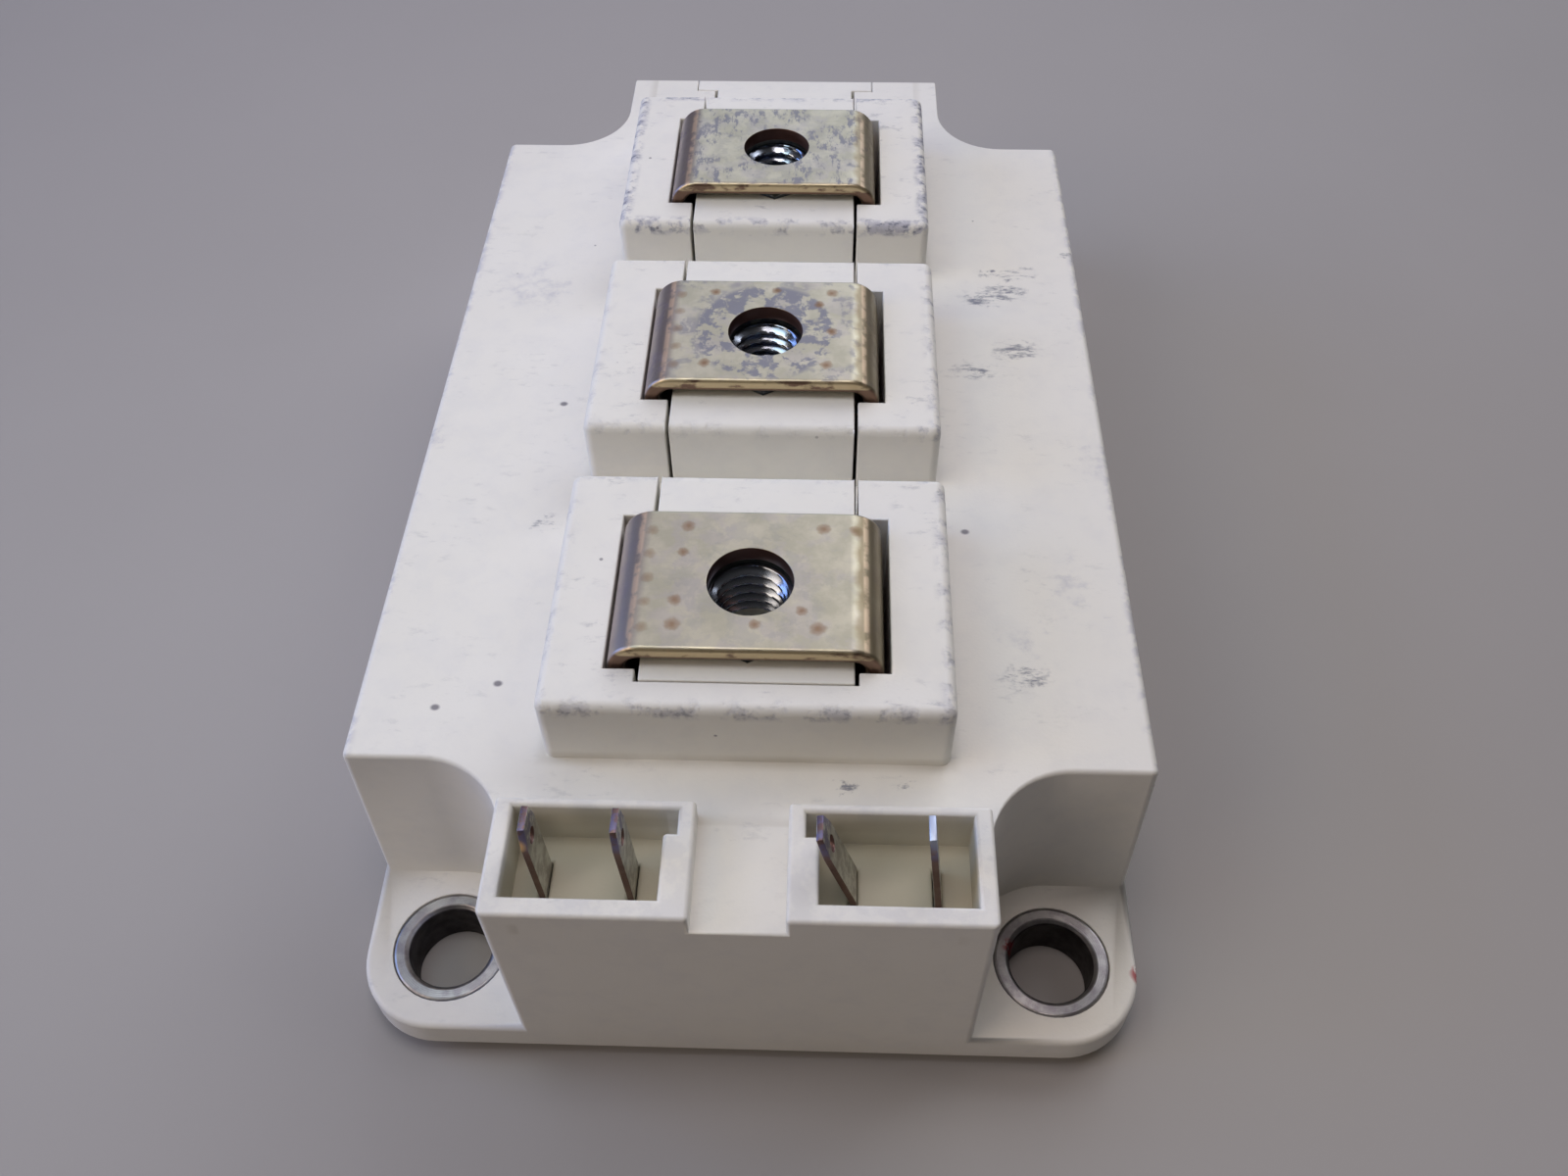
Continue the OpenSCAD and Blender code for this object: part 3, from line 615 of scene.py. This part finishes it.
def housing_round(a, b):
    """Soft block and body edges, crisp slots and pockets, and nothing out of sight."""
    mid = (a + b) / 2
    low = min(a.z, b.z)
    high = max(a.z, b.z)
    near_sleeve = math.hypot(abs(mid.x) - SLEEVE_X, abs(mid.y) - SLEEVE_Y) < 5
    if high < FLANGE_TOP + SAME and low > FLANGE_TOP - SAME:
        return 0.08 if near_sleeve else 0.45
    if low < FLANGE_TOP - SAME:
        return 0.0
    if high < BODY_TOP - 3 and abs(mid.x) < BODY_HALF_W - 2.2 and abs(mid.y) < HALF_L - 0.1:
        inside_walls = abs(mid.y) < HALF_L - 13.5 or abs(mid.x) < 15.6
        return 0.0 if inside_walls else 0.25
    if abs(mid.x) < SLOT_HALF + 0.1 and mid.y > -38:
        return 0.13
    if near_sleeve:
        return 0.08
    if mid.z > BLOCK_TOP - 0.5:
        return 0.75
    if abs(mid.z - BODY_TOP) < 2 * SAME and abs(mid.y) > NOTCH_START:
        return max(0.12, 0.6 - 0.06 * (abs(mid.y) - NOTCH_START))
    if mid.y < SHROUD_REAR and abs(mid.x) < SHROUD_HALF_W and mid.z > SHROUD_TOP - 5:
        return 0.32
    return 0.6


def carrier_round(a, b):
    """The strip's ends roll over like the blocks they stand in; its long edges stay crisp."""
    mid = (a + b) / 2
    across = abs(a.y - b.y) < SAME and min(a.z, b.z) > BLOCK_TOP - 0.1
    at_end = min(abs(abs(mid.y - hole - BLOCK_MID) - BLOCK_HALF_L) for hole in HOLE_Y) < 0.4
    return 0.75 if across and at_end else 0.13


def terminal_round(a, b):
    """Die roll along the bridge's cut edges, and a sharp hole."""
    mid = (a + b) / 2
    hole = min(HOLE_Y, key=lambda y: abs(mid.y - y))
    return 0.06 if math.hypot(mid.x, mid.y - hole) < BUSBAR_HOLE_R + 0.4 else 0.4


def sleeve_round(a, b):
    """A conical mouth that rolls over outside."""
    mid = (a + b) / 2
    outside = math.hypot(abs(mid.x) - SLEEVE_X, abs(mid.y) - SLEEVE_Y) > 4.2
    return 0.3 if mid.z > FLANGE_TOP - 1 and outside else 0.1


def threaded_nut(name, node, body, hole_y):
    """A chamfered hexagon nut with a real M6 thread cut in its bore."""
    low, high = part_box(node)
    z0 = low.z / MM
    height = (high.z - low.z) / MM
    half_flat = (high.x - low.x) / MM / 2
    pitch, depth, mouth = 1.0, 0.54, 0.3
    turns, steps = 96, 16
    rows = int(height / pitch * steps)
    corner_cut = half_flat * 1.05

    def bore(angle, t):
        z = t * height
        phase = (z / pitch - angle / (2 * math.pi)) % 1.0
        groove = min(1.0, max(0.0, 1.15 - abs(phase - 0.5) * 2.6))
        funnel = max(0.0, mouth - min(z, height - z))
        return max(BORE_R + depth * groove, BORE_R + funnel * 1.2), z

    def wall(angle):
        return half_flat / math.cos((angle + math.pi / 6) % (math.pi / 3) - math.pi / 6)

    bm = bmesh.new()
    rings = []
    for k in range(turns):
        angle = 2 * math.pi * k / turns
        profile = [bore(angle, i / rows) for i in range(rows + 1)]
        r = wall(angle)
        drop = max(0.0, r - corner_cut) * 0.58
        profile += [(corner_cut - 0.3, height), (min(r, corner_cut), height), (r, height - drop - 0.02),
                    (r, drop + 0.02), (min(r, corner_cut), 0.0), (corner_cut - 0.3, 0.0)]
        rings.append([bm.verts.new((pr * math.cos(angle) * MM, (hole_y + pr * math.sin(angle)) * MM,
                                    (z0 + pz) * MM)) for pr, pz in profile])
    for one, two in zip(rings, rings[1:] + rings[:1]):
        count = len(one)
        for i in range(count):
            j = (i + 1) % count
            bm.faces.new((one[i], one[j], two[j], two[i]))
    bmesh.ops.recalc_face_normals(bm, faces=bm.faces)
    piece = piece_from(bm, name, body, "zinc_nut", node)
    smooth(piece, 35)
    return piece


rounded("housing", "housing_shell", "module", "housing_plastic", housing_round, segments=4)
rounded("nut_carrier", "nut_carrier_strip", "nut_carrier", "carrier_plastic", carrier_round, segments=4)
rounded("base_plate", "base_plate_slab", "module", "nickel_plate", 0.25)
for place, hole_y in zip(PLACES, HOLE_Y):
    rounded("terminal_" + place, "terminal_bridge_" + place, "module", "terminal_copper", terminal_round)
    threaded_nut("threaded_nut_" + place, "nut_" + place, place + "_nut", hole_y)
for side in ("outer_left", "inner_left", "inner_right", "outer_right"):
    rounded("tab_" + side, "tab_blade_" + side, "module", "tab_copper", 0.07, segments=2)
for end in ("front", "rear"):
    for side in ("left", "right"):
        corner = end + "_" + side
        rounded("sleeve_" + corner, "sleeve_ring_" + corner, "module", "sleeve_steel", sleeve_round)

# CAD nodes that stay as they are
SLOT_OF = {s["node"]: s["material_slot"] for s in frame["record"]["subparts"]}
for node, thing in frame["nodes"].items():
    thing.data.materials.clear()
    thing.data.materials.append(MATERIALS[SLOT_OF[node]])

# ---- floor, light and camera ----


def floor():
    g = Graph("floor_paint")
    cloud = g.noise(60, detail=4)
    bpy.ops.mesh.primitive_plane_add(size=4)
    plane = bpy.context.object
    plane.name = "floor"
    plane.data.materials.append(g.finish(g.mix(cloud, (0.43, 0.41, 0.395), (0.39, 0.37, 0.355)), 0.8))


def soft_light(name, place, aim, size, power, colour):
    """A square area light; place and aim are in metres."""
    data = bpy.data.lights.new(name, "AREA")
    data.size = size
    data.energy = power
    data.color = colour
    lamp = bpy.data.objects.new(name, data)
    lamp.location = place
    lamp.visible_camera = False
    lamp.rotation_euler = (Vector(aim) - Vector(place)).to_track_quat("-Z", "Y").to_euler()
    bpy.context.scene.collection.objects.link(lamp)


def camera():
    """The camera looks down at the tabs from in front and a little to the right."""
    place = Vector((5.1, -93.0, 107.0)) * MM
    turn, dip, roll = 2.38, 50.55, -0.79
    data = bpy.data.cameras.new("camera")
    data.sensor_width = 36
    data.lens = 31.3
    data.clip_start = 0.005
    thing = bpy.data.objects.new("camera", data)
    rotation = (Matrix.Rotation(math.radians(turn), 4, "Z")
                @ Matrix.Rotation(math.radians(90 - dip), 4, "X")
                @ Matrix.Rotation(math.radians(roll), 4, "Z"))
    thing.matrix_world = Matrix.Translation(place) @ rotation
    bpy.context.scene.collection.objects.link(thing)
    bpy.context.scene.camera = thing


def world():
    sky = bpy.data.worlds.new("studio")
    sky.use_nodes = True
    background = sky.node_tree.nodes["Background"]
    background.inputs["Color"].default_value = (1.0, 0.93, 0.88, 1)
    background.inputs["Strength"].default_value = 0.04
    bpy.context.scene.world = sky


floor()
world()
soft_light("left_window", (-0.8, 0.1, 0.3), (0, 0, 0.02), 0.6, 3.1, (0.33, 0.5, 1.0))
soft_light("left_lamp", (-0.6, -0.35, 0.5), (0, 0, 0), 0.5, 1.65, (1.0, 0.82, 0.65))
soft_light("right_back", (0.4, 0.5, 0.6), (0, 0, 0), 0.6, 2.44, (0.94, 0.94, 1.0))
soft_light("low_back", (0.1, 0.8, 0.3), (0, 0, 0), 0.6, 1.22, (0.7, 0.81, 1.0))
soft_light("near_back", (-0.04, 0.12, 0.2), (0, 0.0, 0.02), 0.2, 0.0799, (0.85, 0.8, 1.0))
soft_light("near_left", (-0.05, -0.03, 0.14), (-0.02, 0.0, 0.02), 0.06, 0.0263, (0.76, 0.92, 1.0))
soft_light("near_top", (0.0, -0.04, 0.25), (0.0, 0.0, 0.02), 0.08, 0.094, (1.0, 0.87, 0.84))
camera()
bpy.context.scene.view_settings.view_transform = "Standard"
